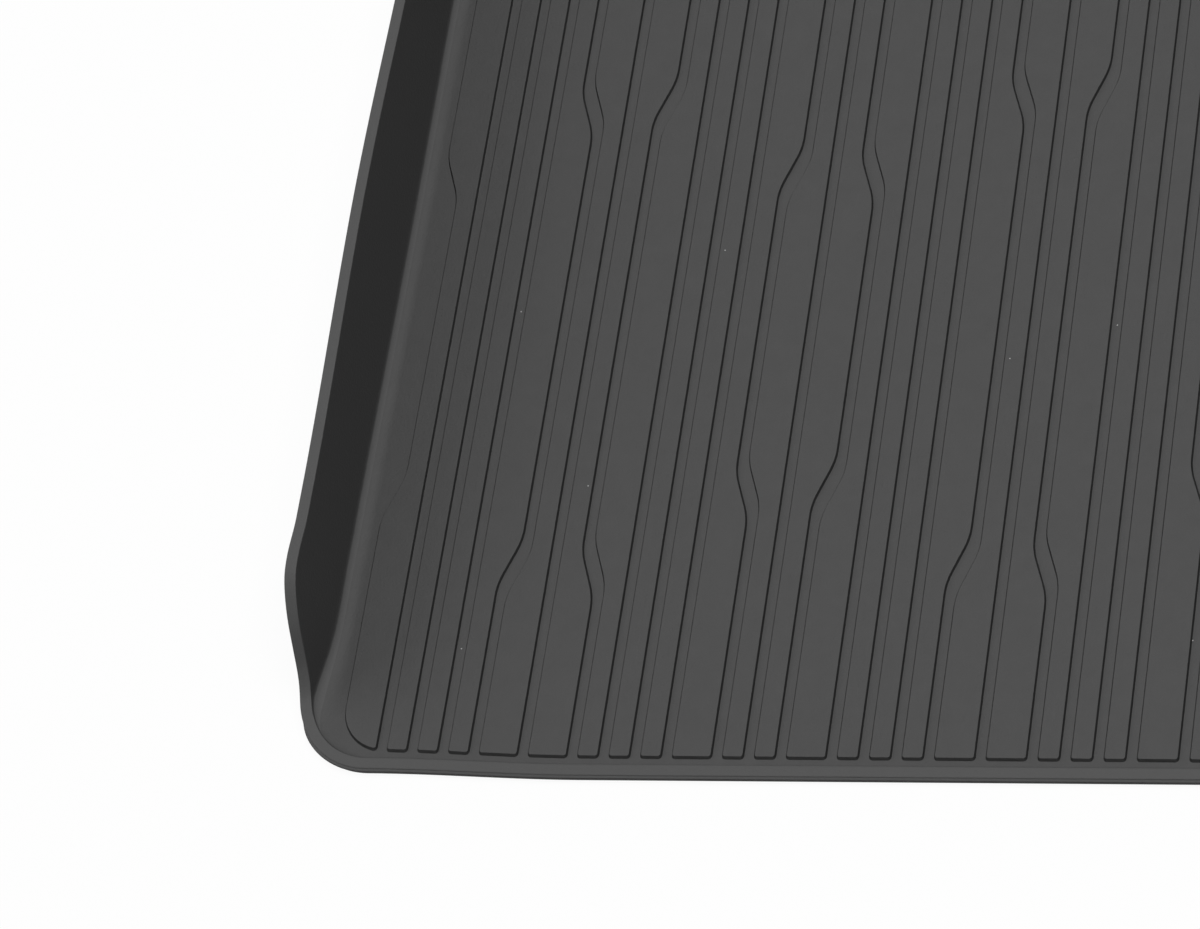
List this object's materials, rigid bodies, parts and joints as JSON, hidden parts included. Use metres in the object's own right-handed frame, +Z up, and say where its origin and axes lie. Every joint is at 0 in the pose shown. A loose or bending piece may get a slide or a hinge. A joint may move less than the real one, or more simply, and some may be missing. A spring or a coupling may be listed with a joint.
{
  "type": "car boot liner",
  "caption": "Moulded boot liner tray with a raised wall, a low loading lip, and a floor of raised lengthwise plates with swerving channels between them.",
  "frame": {"origin": "on the underside, in the middle of the tray's outline", "axes": "+X across the boot, +Y from the loading edge to the back, +Z up"},
  "size_m": [1.1112, 0.676, 0.0443],
  "materials": {
    "elastomer": "matt, lightly textured black moulded elastomer"
  },
  "bodies": {
    "root": {"boot_liner": "elastomer"}
  },
  "joints": []
}
